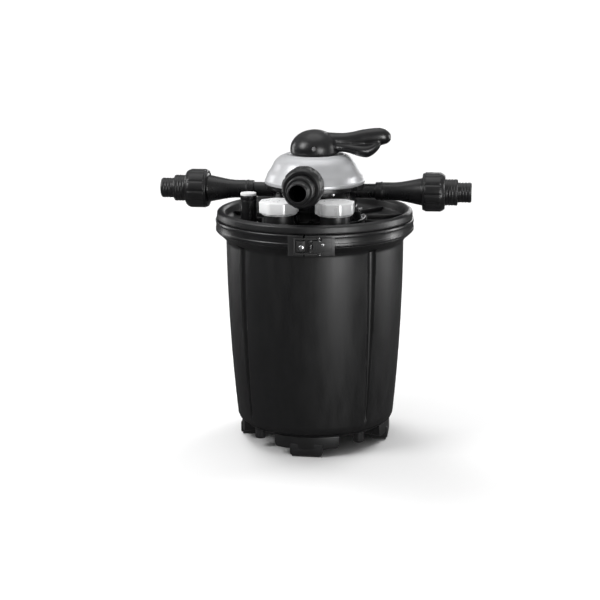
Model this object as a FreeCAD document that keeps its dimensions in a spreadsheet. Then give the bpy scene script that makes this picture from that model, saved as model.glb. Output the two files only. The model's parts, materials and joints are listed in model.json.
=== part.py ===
"""Pressurized pond filter: ribbed tank, clamped lid, turn-and-press valve head with three unions.

Units are millimetres. +Z is up, the front port points along -Y, and the origin lies on the
tank's axis in the plane that the feet stand on.
"""
import FreeCAD, Part
import math
import os
import re

import Sketcher

V = FreeCAD.Vector
doc = FreeCAD.newDocument("pond_filter")

# --- driving dimensions ------------------------------------------------------------------
SIZES = {
    # tank
    "base_z": 38, "base_radius": 146, "step_z": 44, "tank_foot_radius": 153, "tank_foot_z": 47,
    "tank_low_radius": 155.2, "tank_low_z": 66, "tank_belly_radius": 163.3, "tank_belly_z": 170,
    "tank_chest_radius": 168.4, "tank_chest_z": 275, "tank_top_radius": 170.4, "tank_top_z": 393,
    "flare_radius": 187.5, "flare_z": 413,
    "wall": 5.5, "floor_thick": 6, "rim_z": 424, "rim_radius": 186, "neck_radius": 181,
    "mouth_radius": 166, "lip": 5.5, "groove_top": 9, "groove_bottom": 2.4, "groove_low_z": 62,
    "rib_wall": 4, "foot_width": 62, "foot_height": 15.5, "foot_outer": 146, "foot_inner": 112,
    "skirt_half_angle": 25, "pad_thick": 4, "pad_inset": 3, "peg_radius": 10.5,
    "peg_circle": 134, "peg_z": 18,
    # lid and clamp
    "lid_rim_radius": 187.8, "lid_rim_z": 453, "well_radius": 171.5, "well_floor_z": 429,
    "lid_thick": 6, "spigot_depth": 12, "spigot_wall": 6, "gap": 0.5, "seal_circle": 174,
    "seal_radius": 1.6, "band_radius": 190, "band_low_z": 413.6,
    "band_high_z": 437, "band_gap": 4, "rib_thick": 3, "rib_height": 8,
    # latch, in a frame turned by latch_turn about the tank's axis
    "latch_turn": 5.25, "latch_low_z": 399, "latch_high_z": 436, "latch_mid_z": 418,
    "latch_reach": 42, "latch_pad": 3, "pivot_y": 197, "link_pivot_x": 14, "link_pivot_y": 197.5,
    "latch_split_x": 11, "ear_low_z": 408, "ear_thick": 3, "ear_half": 4, "pin_radius": 2,
    "lever_inner": 202, "lever_thick": 3.5, "lever_start": 4, "lever_half": 16,
    "lever_wide_x": 19.8, "lever_neck_half": 11,
    "link_thick": 3, "link_low_z": 403, "rod_x": 30, "ledge_out": 198, "ledge_left": 27,
    "strike_screw_x": 17.4, "strike_screw_radius": 5, "rivet_x": 21, "rivet_z": 422,
    # valve head
    "head_flange_radius": 98, "head_flange_z": 438, "barrel_radius": 80, "chamber_radius": 73,
    "chamber_floor_z": 462, "head_top_z": 502, "head_lip_radius": 93, "head_lip_thick": 8,
    "riser_radius": 22, "riser_wall": 3, "screw_circle": 90, "screw_radius": 2.5,
    "screw_head": 4.5, "cover_screw_circle": 87, "seal_seat": 79, "duct_half": 15,
    "cover_radius": 95.5, "cover_shoulder_radius": 74, "cover_shoulder_z": 547,
    "cover_top_radius": 60, "cover_top_z": 556, "ring_inner": 48,
    "ring_outer": 57, "ring_height": 1.6,
    "rotor_radius": 70, "rotor_low_z": 466, "rotor_thick": 12, "gasket_thick": 3.7,
    "spindle_radius": 8, "running_fit": 0.08, "clearance": 0.4, "spring_circle": 17,
    "spring_wire": 2, "spring_top_z": 550, "washer_z": 556.2, "washer_thick": 1.6,
    "washer_radius": 22, "pivot_z": 572, "handle_pin_radius": 4,
    # handle
    "hub_radius": 46, "hub_centre_z": 567, "hub_rise": 36, "hub_low_z": 558.3,
    "handle_turn": 6, "tip_length": 144.5, "slot_half_width": 8.4, "slot_half_length": 12,
    "slot_top_z": 588,
    # ports
    "side_port_z": 488, "front_port_z": 519, "front_offset": 60, "neck_outer": 13.7,
    "neck_end": 117, "sleeve_outer": 17, "sleeve_end": 160, "cone_outer": 26, "nut_start": 206,
    "nut_length": 42, "nut_radius": 37, "nut_bore": 31.5, "thread_radius": 31,
    "thread_end": 232, "port_bore": 10.5, "thread_bore": 19, "tail_flange_end": 239.6,
    "union_seal_thick": 1.8, "tail_large": 25, "tail_large_end": 272, "tail_small": 19,
    "tail_end": 298, "tail_bore": 15, "front_neck_outer": 19.5, "front_neck_start": 62,
    "nut_grips": 12, "grip_radius": 3,
    # service caps
    "cap_x": 51.5, "cap_y": 116, "cap_flat": 35, "cap_low_z": 461.5, "cap_high_z": 486,
    "cap_collar": 32.5, "cap_collar_z": 463.5, "cap_corner": 37, "cap_crown": 34, "cap_roof": 9,
    "cap_neck": 27, "cap_neck_bore": 21, "cap_neck_z": 475,
    # pressure indicator
    "gauge_x": 119, "gauge_y": 55, "gauge_radius": 15.3, "gauge_z": 484.6, "gauge_bore": 11,
    "gauge_roof": 5, "button_radius": 15, "button_z": 490, "stem_radius": 4,
    "piston_z": 446, "piston_thick": 5, "gauge_spring": 7.4, "gauge_wire": 1.1,
    # filling
    "media_inner": 27, "media_outer": 137, "media_low_z": 64, "media_height": 108,
    "media_gap": 2, "grid_thick": 4, "grid_radius": 139, "grid_hole": 6, "grid_leg": 8,
    "grid_leg_circle": 103, "riser_hole": 5, "riser_hole_step": 48, "spreader_radius": 97.5,
}

sheet = doc.addObject("Spreadsheet::Sheet", "Sizes")
for row, (alias, size) in enumerate(SIZES.items(), start=1):
    sheet.set("A%d" % row, alias)
    sheet.set("B%d" % row, str(size))
    sheet.setAlias("B%d" % row, alias)
doc.recompute()


# --- helpers -----------------------------------------------------------------------------
def expression(text):
    """Point every size named in text at its cell."""
    return re.sub(r"[a-z_]+", lambda word: "Sizes." + word.group()
                  if word.group() in SIZES else word.group(), str(text))


def value(text):
    return float(sheet.evalExpression(expression(text)))


def bind(item, **links):
    """Bind properties to expressions; x, y and z stand for the position."""
    for name, text in links.items():
        path = "Placement.Base." + name if name in ("x", "y", "z") else name
        item.setExpression(path, expression(text))
    return item


def place(item, turn=0, axis=V(0, 0, 1), at=V(0, 0, 0)):
    item.Placement = FreeCAD.Placement(at, FreeCAD.Rotation(axis, turn))
    return item


def primitive(kind, label, turn=0, axis=V(0, 0, 1), **links):
    item = doc.addObject("Part::" + kind, label)
    item.Label = label
    return bind(place(item, turn, axis), **links)


def box(label, x, y, z):
    """A box between pairs of limits."""
    return primitive("Box", label, x=x[0], y=y[0], z=z[0],
                     Length="(%s) - (%s)" % (x[1], x[0]), Width="(%s) - (%s)" % (y[1], y[0]),
                     Height="(%s) - (%s)" % (z[1], z[0]))


def rod(label, radius, z, x="0", y="0"):
    """An upright cylinder."""
    return primitive("Cylinder", label, Radius=radius, Height="(%s) - (%s)" % (z[1], z[0]),
                     x=x, y=y, z=z[0])


def spoke(label, radius, y, x="0", z="0"):
    """A cylinder that lies along Y, between two values of y."""
    item = primitive("Cylinder", label, turn=-90, axis=V(1, 0, 0), Radius=radius,
                     Height="(%s) - (%s)" % (y[1], y[0]))
    return bind(item, x=x, y=y[0], z=z)


def fuse(label, pieces):
    item = doc.addObject("Part::MultiFuse", label)
    item.Label = label
    item.Shapes = pieces
    item.Refine = True
    return item


def cut(label, base, tools):
    item = doc.addObject("Part::Cut", label)
    item.Label = label
    item.Base = base
    item.Tool = tools[0] if len(tools) == 1 else fuse(label + "_tools", tools)
    item.Refine = True
    return item


def common(label, first, second):
    item = doc.addObject("Part::Common", label)
    item.Label = label
    item.Base = first
    item.Tool = second
    return item


def group(label, pieces):
    item = doc.addObject("Part::Compound", label)
    item.Label = label
    item.Links = pieces
    return item


def plane(body, role):
    return [item for item in body.Origin.OriginFeatures if item.Role == role][0]


def lathe(label, outline):
    """A PartDesign body turned about its own Z axis from (radius, height) points."""
    body = doc.addObject("PartDesign::Body", label)
    body.Label = label
    sketch = body.newObject("Sketcher::SketchObject", label + "_outline")
    sketch.AttachmentSupport = [(plane(body, "XZ_Plane"), "")]
    sketch.MapMode = "FlatFace"
    corners = [V(value(x), value(z), 0) for x, z in outline]
    edges = [sketch.addGeometry(Part.LineSegment(start, end))
             for start, end in zip(corners, corners[1:] + corners[:1])]
    for edge, follower in zip(edges, edges[1:] + edges[:1]):
        sketch.addConstraint(Sketcher.Constraint("Coincident", edge, 2, follower, 1))
    for edge, corner, point in zip(edges, corners, outline):
        for kind, size, text in (("DistanceX", corner.x, point[0]),
                                 ("DistanceY", corner.y, point[1])):
            index = sketch.addConstraint(Sketcher.Constraint(kind, -1, 1, edge, 1, size))
            if size:
                sketch.setExpression("Constraints[%d]" % index, expression(text))
    turned = body.newObject("PartDesign::Revolution", label + "_turned")
    turned.Profile = sketch
    turned.ReferenceAxis = (sketch, ["V_Axis"])
    turned.Angle = 360
    doc.recompute()
    return body


def flutes(body, radius, centre, count):
    """Cut a ring of round flutes along a turned body."""
    before = body.Shape.Volume
    sketch = body.newObject("Sketcher::SketchObject", body.Label + "_flute")
    sketch.AttachmentSupport = [(plane(body, "XY_Plane"), "")]
    sketch.MapMode = "FlatFace"
    circle = sketch.addGeometry(Part.Circle(V(value(centre), 0, 0), V(0, 0, 1), value(radius)))
    for kind, size, text in (("DistanceX", value(centre), centre), ("Radius", value(radius), radius)):
        where = (circle,) if kind == "Radius" else (-1, 1, circle, 3)
        index = sketch.addConstraint(Sketcher.Constraint(kind, *where, size))
        sketch.setExpression("Constraints[%d]" % index, expression(text))
    sketch.addConstraint(Sketcher.Constraint("PointOnObject", circle, 3, -1))
    pocket = body.newObject("PartDesign::Pocket", body.Label + "_pocket")
    pocket.Profile = sketch
    pocket.Type = "ThroughAll"
    pocket.Midplane = True
    doc.recompute()
    pattern = body.newObject("PartDesign::PolarPattern", body.Label + "_flutes")
    pattern.Originals = [pocket]
    pattern.Axis = (plane(body, "Z_Axis"), [""])
    pattern.Angle = 360
    bind(pattern, Occurrences=count)
    body.Tip = pattern
    doc.recompute()
    assert body.Shape.Volume < before, body.Label + ": the flutes cut nothing"
    return body


def around(build, count, first=0):
    """Build count copies, each turned about the tank's axis."""
    return [turned(build(index), first + 360.0 * index / count) for index in range(count)]


def screw_ring(label, circle, radius, z):
    """Six upright cylinders on a circle, clear of the ports."""
    return around(lambda index: rod("%s_%d" % (label, index), radius, z, y="-" + circle), 6, 30)


def turned(item, degrees):
    """Carry an item round the tank's axis, position and all."""
    wrap = doc.addObject("Part::Compound", item.Label + "_turned")
    wrap.Links = [item]
    return place(wrap, degrees)


def coil(label, circle, wire, low, high, turns):
    """A helical spring with its wire's centre between two heights."""
    radius, height = value(circle), value(high) - value(low)
    path = Part.makeHelix(height / turns, height, radius)
    section = Part.Wire(Part.Circle(V(radius, 0, 0), V(0, 1, 0), value(wire)).toShape())
    item = doc.addObject("Part::Feature", label)
    item.Label = label
    item.Shape = Part.Wire(path).makePipeShell([section], True, True)
    item.Placement.Base.z = value(low)
    return item


sub_parts = []


def keep(*items):
    sub_parts.extend(items)


# --- tank --------------------------------------------------------------------------------
def wall_groove(label, extra):
    """A tapered round groove lying along the tank's sloping wall at the front."""
    rise = value("tank_top_z - groove_low_z")
    start = value("tank_low_radius")
    slope = (value("tank_top_radius") - start) / rise
    lean = math.degrees(math.atan(slope))
    item = primitive("Cone", label, turn=lean, axis=V(1, 0, 0),
                     Radius1="groove_bottom + " + extra, Radius2="groove_top + " + extra)
    item.Height = rise / math.cos(math.radians(lean)) + value("groove_top")
    item.Placement.Base = V(0, -start, value("groove_low_z"))
    return item


def skirt_part(index):
    """One foot with the stretch of skirt above it."""
    ring = primitive("Cylinder", "skirt_%d" % index, Radius="base_radius", z="foot_height",
                     Height="base_z - foot_height")
    ring.setExpression("Angle", expression("2 * skirt_half_angle"))
    ring.Placement.Rotation = FreeCAD.Rotation(V(0, 0, 1), -90 - value("skirt_half_angle"))
    inner = rod("skirt_inner_%d" % index, "foot_inner", ("foot_height - 1", "base_z + 2"))
    foot = box("foot_%d" % index, ("-foot_width / 2", "foot_width / 2"),
               ("-foot_outer", "-foot_inner"), ("pad_thick", "foot_height + 2"))
    return fuse("leg_%d" % index, [cut("skirt_cut_%d" % index, ring, [inner]), foot])


shell = lathe("tank_outside", [
    ("0", "base_z"), ("base_radius - 3", "base_z"), ("base_radius", "base_z + 2"),
    ("base_radius", "step_z"), ("tank_foot_radius", "tank_foot_z"),
    ("tank_low_radius", "tank_low_z"), ("tank_belly_radius", "tank_belly_z"),
    ("tank_chest_radius", "tank_chest_z"), ("tank_top_radius", "tank_top_z"),
    ("flare_radius - 1", "flare_z - 1.5"),
    ("flare_radius", "flare_z"), ("neck_radius", "flare_z"),
    ("neck_radius", "rim_z - lip"), ("rim_radius", "rim_z - lip"), ("rim_radius", "rim_z"),
    ("seal_circle + 2", "rim_z"), ("seal_circle + 2", "rim_z + gap - 2 * seal_radius"),
    ("seal_circle - 2", "rim_z + gap - 2 * seal_radius"), ("seal_circle - 2", "rim_z"),
    ("0", "rim_z")])
cavity = lathe("tank_inside", [
    ("0", "base_z + floor_thick"), ("base_radius - wall - 2", "base_z + floor_thick"),
    ("tank_foot_radius - wall", "base_z + floor_thick + 6"),
    ("tank_low_radius - wall", "tank_low_z"), ("tank_belly_radius - wall", "tank_belly_z"),
    ("tank_chest_radius - wall", "tank_chest_z"), ("tank_top_radius - wall", "tank_top_z"),
    ("mouth_radius", "tank_top_z + 8"),
    ("mouth_radius", "rim_z + 1"), ("0", "rim_z + 1")])
hollow = cut("tank_hollow", cavity, around(
    lambda index: wall_groove("inner_rib_%d" % index, "rib_wall"), 4, 45))
bucket = cut("bucket", shell, [hollow] + around(
    lambda index: wall_groove("groove_%d" % index, "0"), 4, 45))
rim_zone = rod("rim_zone", "band_radius", ("tank_top_z", "rim_z + 1"))
tank = cut("tank", bucket, [rim_zone])
tank_rim = common("tank_rim", bucket, rim_zone)
legs = around(skirt_part, 4)
pegs = around(lambda index: rod("peg_%d" % index, "peg_radius", ("peg_z", "base_z"),
                                y="-peg_circle"), 4, 45)
tank_feet = group("tank_feet", legs + pegs)
foot_pads = group("foot_pads", around(lambda index: box(
    "pad_%d" % index, ("-foot_width / 2 + pad_inset", "foot_width / 2 - pad_inset"),
    ("-foot_outer + pad_inset", "-foot_inner - pad_inset"), ("0", "pad_thick")), 4))
keep(tank, tank_rim, tank_feet, foot_pads)

# --- lid and its clamp -------------------------------------------------------------------
lid_moulding = lathe("lid_moulding", [
    ("riser_radius + gap", "well_floor_z - lid_thick"),
    ("mouth_radius - gap - spigot_wall", "well_floor_z - lid_thick"),
    ("mouth_radius - gap - spigot_wall", "rim_z - spigot_depth"),
    ("mouth_radius - gap", "rim_z - spigot_depth"), ("mouth_radius - gap", "rim_z + gap"),
    ("rim_radius", "rim_z + gap"), ("rim_radius", "rim_z + gap + lip + 1"),
    ("neck_radius", "rim_z + gap + lip + 1"), ("neck_radius", "band_high_z"),
    ("lid_rim_radius - 1", "band_high_z"), ("lid_rim_radius", "band_high_z + 2"),
    ("lid_rim_radius - 0.5", "lid_rim_z - 4"), ("lid_rim_radius - 2", "lid_rim_z - 1.2"),
    ("lid_rim_radius - 5", "lid_rim_z"), ("well_radius + 6", "lid_rim_z"),
    ("well_radius + 2.5", "lid_rim_z - 2"), ("well_radius", "lid_rim_z - 7"),
    ("well_radius - 1", "well_floor_z + 4"), ("well_radius - 5", "well_floor_z"),
    ("riser_radius + gap", "well_floor_z")])
lid_ribs = around(lambda index: box(
    "lid_rib_%d" % index, ("-rib_thick / 2", "rib_thick / 2"),
    ("-well_radius - 1", "-head_flange_radius - 3"),
    ("well_floor_z - 1", "well_floor_z + rib_height")), 12, 15)
neck_rods = [rod("neck_rod_%d" % side, "cap_neck", ("well_floor_z", "cap_neck_z"),
                 x="%d * cap_x" % side, y="-cap_y") for side in (-1, 1)]
cap_bores = [rod("cap_bore_%d" % side, "cap_neck_bore", ("rim_z - 20", "cap_neck_z + 1"),
                 x="%d * cap_x" % side, y="-cap_y") for side in (-1, 1)]
lid_zone = rod("lid_zone", "mouth_radius - gap", ("rim_z - spigot_depth - 1", "lid_rim_z + 1"))
lid_rim = cut("lid_rim", lid_moulding, [lid_zone])
lid_floor = common("lid_floor", lid_moulding, lid_zone)
lid_holes = screw_ring("lid_hole", "screw_circle", "screw_radius",
                       ("well_floor_z - 4", "well_floor_z + 1"))
lid = cut("lid", fuse("lid_solid", [lid_floor] + lid_ribs),
          [lid_rim] + neck_rods + cap_bores + lid_holes)
cap_necks = group("cap_necks", [cut("neck_tube_%d" % index, neck_rods[index], [cap_bores[index]])
                                for index in (0, 1)])
lid_seal = primitive("Torus", "lid_seal", Radius1="seal_circle", Radius2="seal_radius",
                     z="rim_z + gap - seal_radius")
band_ring = lathe("band_ring", [
    ("rim_radius + gap", "band_low_z + 3.6"), ("neck_radius + 1", "band_low_z + 3.6"),
    ("neck_radius + 1", "band_low_z"), ("band_radius - 1", "band_low_z"),
    ("band_radius", "band_low_z + 1"), ("band_radius", "band_high_z - 1.4"),
    ("band_radius - 1", "band_high_z - gap"), ("neck_radius + 1", "band_high_z - gap"),
    ("neck_radius + 1", "band_high_z - 4"), ("rim_radius + gap", "band_high_z - 4")])


def latch_frame(item):
    return turned(item, value("latch_turn"))


band_opening = latch_frame(box("band_opening", ("-latch_split_x - band_gap", "-latch_split_x"),
                               ("-band_radius - 1", "-neck_radius + 6"),
                               ("band_low_z - 1", "band_high_z + 1")))
clamp_band = cut("clamp_band", band_ring, [band_opening])
keep(lid, lid_rim, cap_necks, lid_seal, clamp_band)


# --- latch -------------------------------------------------------------------------------
def latch_arc(label, inner, outer, x, z):
    """A stretch of a ring about the tank's axis, at the front, between limits of x."""
    ring = lathe(label + "_ring", [(inner, z[0]), (outer, z[0]), (outer, z[1]), (inner, z[1])])
    return common(label + "_arc", ring, box(label + "_span", x, ("-band_radius - 30", "-100"), z))


latch_height = ("latch_low_z", "latch_high_z")
ear_x = ("-ear_half", "ear_half")
ear_y = ("-lever_inner + clearance", "-band_radius - 1")
ear_levels = [("ear_low_z", "ear_low_z + ear_thick"),
              ("2 * latch_mid_z - ear_low_z - ear_thick", "2 * latch_mid_z - ear_low_z")]
cheek_levels = [("ear_low_z + ear_thick + clearance", "ear_low_z + 2 * ear_thick + clearance"),
                ("2 * latch_mid_z - ear_low_z - 2 * ear_thick - clearance",
                 "2 * latch_mid_z - ear_low_z - ear_thick - clearance")]
arm_levels = [("link_low_z", "link_low_z + link_thick"),
              ("2 * latch_mid_z - link_low_z - link_thick", "2 * latch_mid_z - link_low_z")]
bracket_pad = latch_arc("bracket_pad", "band_radius", "band_radius + latch_pad",
                        ("-latch_split_x", "latch_reach"), latch_height)
ears = [box("ear_%d" % index, ear_x, ear_y, level) for index, level in enumerate(ear_levels)]
pivot_hole = rod("pivot_hole", "pin_radius", latch_height, y="-pivot_y")
latch_bracket = cut("latch_bracket_flat", fuse("bracket_solid", [bracket_pad] + ears),
                    [pivot_hole])
strike_pad = latch_arc("strike_pad", "band_radius", "band_radius + latch_pad",
                       ("-latch_reach", "-latch_split_x - band_gap"), latch_height)
ledge = box("ledge", ("-ledge_left", "-latch_split_x"), ("-ledge_out", "-band_radius - 1.5"),
            ("ear_low_z", "2 * latch_mid_z - ear_low_z"))
strike_hole = spoke("strike_hole", "screw_radius", ("-ledge_out - 1", "-band_radius - 2"),
                    x="-strike_screw_x", z="latch_mid_z - 2")
latch_strike = cut("latch_strike_flat", fuse("strike_solid", [strike_pad, ledge]),
                   [strike_hole])
strike_screw = fuse("strike_screw_flat", [
    spoke("strike_head", "strike_screw_radius", ("-ledge_out - 3", "-ledge_out"),
          x="-strike_screw_x", z="latch_mid_z - 2"),
    spoke("strike_shank", "screw_radius", ("-ledge_out - 1", "-band_radius - 2"),
          x="-strike_screw_x", z="latch_mid_z - 2")])
latch_pin = rod("latch_pin_flat", "pin_radius",
                ("ear_low_z - 0.8", "2 * latch_mid_z - ear_low_z + 0.8"), y="-pivot_y")
lever_plate = latch_arc("lever_plate", "lever_inner", "lever_inner + lever_thick",
                        ("lever_wide_x", "latch_reach"),
                        ("latch_mid_z - lever_half", "latch_mid_z + lever_half"))
lever_neck = latch_arc("lever_neck", "lever_inner", "lever_inner + lever_thick",
                       ("lever_start", "lever_wide_x + 1"),
                       ("latch_mid_z - lever_neck_half", "latch_mid_z + lever_neck_half"))
cheeks = []
for index, level in enumerate(cheek_levels):
    cheeks.append(rod("cheek_end_%d" % index, "ear_half", level, y="-pivot_y"))
    cheeks.append(box("cheek_%d" % index, ("0", "link_pivot_x + 4"),
                      ("-lever_inner - 1", "-link_pivot_y + 2.4"), level))
lever_bores = [
    rod("lever_bore", "pin_radius + running_fit", latch_height, y="-pivot_y"),
    rod("lever_link_bore", "pin_radius", ("link_low_z - 1", "2 * latch_mid_z - link_low_z + 1"),
        x="link_pivot_x", y="-link_pivot_y")]
rivet_hole = spoke("rivet_hole", "pin_radius", ("-lever_inner - lever_thick - 1",
                   "-lever_inner + 4"), x="rivet_x", z="rivet_z")
latch_lever = cut("latch_lever_flat", fuse("lever_solid", [lever_plate, lever_neck] + cheeks),
                  lever_bores + [rivet_hole])
link_pin = rod("link_pin_flat", "pin_radius",
               ("link_low_z - 0.4", "2 * latch_mid_z - link_low_z + 0.4"),
               x="link_pivot_x", y="-link_pivot_y")
arms = []
for index, level in enumerate(arm_levels):
    arms.append(box("arm_%d" % index, ("-rod_x - 1.5", "link_pivot_x"),
                    ("-link_pivot_y - 1.6", "-link_pivot_y + 1.2"), level))
    arms.append(rod("arm_end_%d" % index, "pin_radius + 1.6", level,
                    x="link_pivot_x", y="-link_pivot_y"))
cross_bar = box("cross_bar", ("-rod_x - 1.5", "-rod_x + 1.5"),
                ("-link_pivot_y - 1.6", "-link_pivot_y + 1.2"),
                ("link_low_z + 1", "2 * latch_mid_z - link_low_z - 1"))
latch_link = cut("latch_link_flat", fuse("link_solid", arms + [cross_bar]), [
    rod("link_bore", "pin_radius + running_fit",
        ("link_low_z - 1", "2 * latch_mid_z - link_low_z + 1"),
        x="link_pivot_x", y="-link_pivot_y")])
lever_rivet = spoke("lever_rivet_flat", "pin_radius",
                    ("-lever_inner - lever_thick - 0.6", "-lever_inner + 4"),
                    x="rivet_x", z="rivet_z")
for flat, label in ((latch_bracket, "latch_bracket"), (latch_strike, "latch_strike"),
                    (strike_screw, "strike_screw"), (latch_pin, "latch_pin"),
                    (latch_lever, "latch_lever"), (link_pin, "link_pin"),
                    (latch_link, "latch_link"), (lever_rivet, "lever_rivet")):
    part = latch_frame(flat)
    part.Label = label
    keep(part)


# --- ports: unions with stepped hose tails -----------------------------------------------
PORTS = {
    "left": (V(-1, 0, 0), "side_port_z", "0"),
    "right": (V(1, 0, 0), "side_port_z", "0"),
    "front": (V(0, -1, 0), "front_port_z", "front_offset"),
}


def aim(item, side):
    """Lay a piece made along +Z on its port's axis, pointing outward."""
    direction, height, back = PORTS[side]
    item.Placement = FreeCAD.Placement(V(0, 0, 0), FreeCAD.Rotation(V(0, 0, 1), direction))
    shift = {"z": height}
    if back != "0":
        shift["y"] = back
    return bind(item, **shift)


def port_pipe(side):
    """The fixed pipe of a port up to its threaded end, solid, and the bore through it."""
    if side == "front":
        start = [("front_neck_outer", "front_offset + front_neck_start"),
                 ("front_neck_outer", "sleeve_end")]
        bore_start = "front_offset + front_neck_start - 2"
    else:
        start = [("neck_outer", "chamber_radius + 2"), ("neck_outer", "neck_end"),
                 ("sleeve_outer", "neck_end"), ("sleeve_outer", "sleeve_end")]
        bore_start = "chamber_radius - 4"
    pipe = lathe(side + "_pipe", [("0", start[0][1])] + start + [
        ("cone_outer", "nut_start"), ("thread_radius", "nut_start + 0.4"),
        ("thread_radius", "thread_end"), ("0", "thread_end")])
    bore = lathe(side + "_pipe_bore", [
        ("0", bore_start), ("port_bore", bore_start), ("port_bore", "neck_end"),
        ("port_bore + 2", "sleeve_end"), ("thread_bore", "nut_start + 4"),
        ("thread_bore", "thread_end + 1"), ("0", "thread_end + 1")])
    return aim(pipe, side), aim(bore, side)


def union(side):
    nut_end = "nut_start + nut_length"
    nut = lathe(side + "_union_nut", [
        ("nut_bore", "nut_start"), ("nut_radius - 3", "nut_start"),
        ("nut_radius", "nut_start + 3"), ("nut_radius", nut_end + " - 6"),
        ("nut_radius - 4", nut_end), ("tail_large + clearance", nut_end),
        ("tail_large + clearance", "tail_flange_end + clearance"),
        ("nut_bore", "tail_flange_end + clearance")])
    nut = flutes(nut, "grip_radius", "nut_radius + grip_radius - 1.2", "nut_grips")
    tail = lathe(side + "_hose_tail", [
        ("tail_bore", "thread_end + union_seal_thick + 0.2"),
        ("thread_radius - 0.3", "thread_end + union_seal_thick + 0.2"),
        ("thread_radius - 0.3", "tail_flange_end"), ("tail_large", "tail_flange_end"),
        ("tail_large", "tail_large_end - 1.5"), ("tail_large - 1.5", "tail_large_end"),
        ("tail_small", "tail_large_end"), ("tail_small", "tail_end - 1.5"),
        ("tail_small - 1.5", "tail_end"), ("tail_bore", "tail_end")])
    seal = lathe(side + "_union_seal", [
        ("tail_bore + 5", "thread_end + 0.1"), ("thread_radius - 1.5", "thread_end + 0.1"),
        ("thread_radius - 1.5", "thread_end + union_seal_thick + 0.1"),
        ("tail_bore + 5", "thread_end + union_seal_thick + 0.1")])
    keep(*(aim(piece, side) for piece in (nut, tail, seal)))


pipes, pipe_bores = zip(*(port_pipe(side) for side in PORTS))
for side in PORTS:
    union(side)

# --- valve head --------------------------------------------------------------------------
head_core = lathe("head_core", [
    ("riser_radius + 0.2", "well_floor_z"), ("head_flange_radius", "well_floor_z"),
    ("head_flange_radius", "head_flange_z - 1"), ("head_flange_radius - 1", "head_flange_z"),
    ("barrel_radius + 4", "head_flange_z"), ("barrel_radius", "head_flange_z + 5"),
    ("barrel_radius", "head_top_z - head_lip_thick"),
    ("head_lip_radius", "head_top_z - head_lip_thick"), ("head_lip_radius", "head_top_z"),
    ("seal_seat + seal_radius", "head_top_z"),
    ("seal_seat + seal_radius", "head_top_z - 2 * seal_radius"),
    ("seal_seat - seal_radius", "head_top_z - 2 * seal_radius"),
    ("seal_seat - seal_radius", "head_top_z"),
    ("chamber_radius", "head_top_z"), ("chamber_radius", "chamber_floor_z"),
    ("riser_radius + 0.2", "chamber_floor_z")])
front_duct = box("front_duct", ("-duct_half", "duct_half"),
                 ("-chamber_radius - 4", "-front_neck_start"),
                 ("chamber_floor_z + 30", "front_port_z"))
duct_clear = rod("duct_clear", "front_neck_start - 0.5",
                 ("chamber_floor_z + 20", "front_port_z + 40"))
head_screw_holes = screw_ring("head_hole", "screw_circle", "screw_radius",
                              ("well_floor_z - 4", "head_flange_z + 1"))
cover_screw_holes = screw_ring("cover_hole", "cover_screw_circle", "screw_radius - 0.5",
                               ("head_top_z - 20", "head_top_z + 11"))
cover_seal = primitive("Torus", "cover_seal", Radius1="seal_seat", Radius2="seal_radius",
                       z="head_top_z - seal_radius")
valve_body = cut("valve_body", fuse("head_solid", [head_core, front_duct] + list(pipes)),
                 list(pipe_bores) + [duct_clear, cover_seal] + head_screw_holes + cover_screw_holes)
head_screws = group("head_screws", [fuse("head_screw_%d" % index, list(pair)) for index, pair
                    in enumerate(zip(screw_ring("head_cap", "screw_circle", "screw_head",
                                                ("head_flange_z", "head_flange_z + 3.5")),
                                     screw_ring("head_shank", "screw_circle", "screw_radius",
                                                ("well_floor_z - 4", "head_flange_z + 1"))))])

cover_shell = lathe("cover_shell", [
    ("chamber_radius + 3", "head_top_z"), ("cover_radius", "head_top_z"),
    ("cover_radius", "head_top_z + 7"), ("cover_radius - 5.5", "head_top_z + 20"),
    ("cover_shoulder_radius + 9", "cover_shoulder_z - 16"),
    ("cover_shoulder_radius", "cover_shoulder_z"),
    ("cover_shoulder_radius - 5.5", "cover_top_z - 3.4"), ("cover_top_radius", "cover_top_z"),
    ("ring_outer", "cover_top_z"), ("ring_outer - 1", "cover_top_z + ring_height"),
    ("ring_inner + 1", "cover_top_z + ring_height"), ("ring_inner", "cover_top_z"),
    ("spindle_radius + running_fit", "cover_top_z"),
    ("spindle_radius + running_fit", "spring_top_z + 4.6"),
    ("spindle_radius + 3", "spring_top_z + 4.6"), ("spindle_radius + 3", "spring_top_z + 1.6"),
    ("spindle_radius + running_fit", "spring_top_z + 1.6"),
    ("spindle_radius + running_fit", "spring_top_z"), ("cover_top_radius - 4", "spring_top_z"),
    ("cover_shoulder_radius - 9", "cover_shoulder_z - 6"),
    ("cover_shoulder_radius + 2", "cover_shoulder_z - 21"),
    ("chamber_radius + 3", "head_top_z + 12")])
port_notch = fuse("port_notch", [
    spoke("notch_round", "front_neck_outer + 0.3", ("-cover_radius - 4", "-front_neck_start"),
          z="front_port_z"),
    box("notch_slot", ("-front_neck_outer - 0.3", "front_neck_outer + 0.3"),
        ("-cover_radius - 4", "-front_neck_start"), ("head_top_z - 1", "front_port_z"))])
valve_cover = cut("valve_cover", cover_shell, [port_notch] + screw_ring(
    "boss_hole", "cover_screw_circle", "screw_radius - 0.5",
    ("head_top_z - 1", "head_top_z + 11")))
cover_screws = group("cover_screws", [fuse("cover_screw_%d" % index, list(pair)) for index, pair
                     in enumerate(zip(screw_ring("cover_cap", "cover_screw_circle",
                                                 "screw_head - 0.5",
                                                 ("head_top_z - head_lip_thick - 3.2",
                                                  "head_top_z - head_lip_thick")),
                                      screw_ring("cover_shank", "cover_screw_circle",
                                                 "screw_radius - 0.5",
                                                 ("head_top_z - head_lip_thick - 1",
                                                  "head_top_z + 11"))))])
spindle_seal = primitive("Torus", "spindle_seal", Radius1="spindle_radius + 1.6",
                         Radius2="1.4", z="spring_top_z + 3.1")
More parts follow.
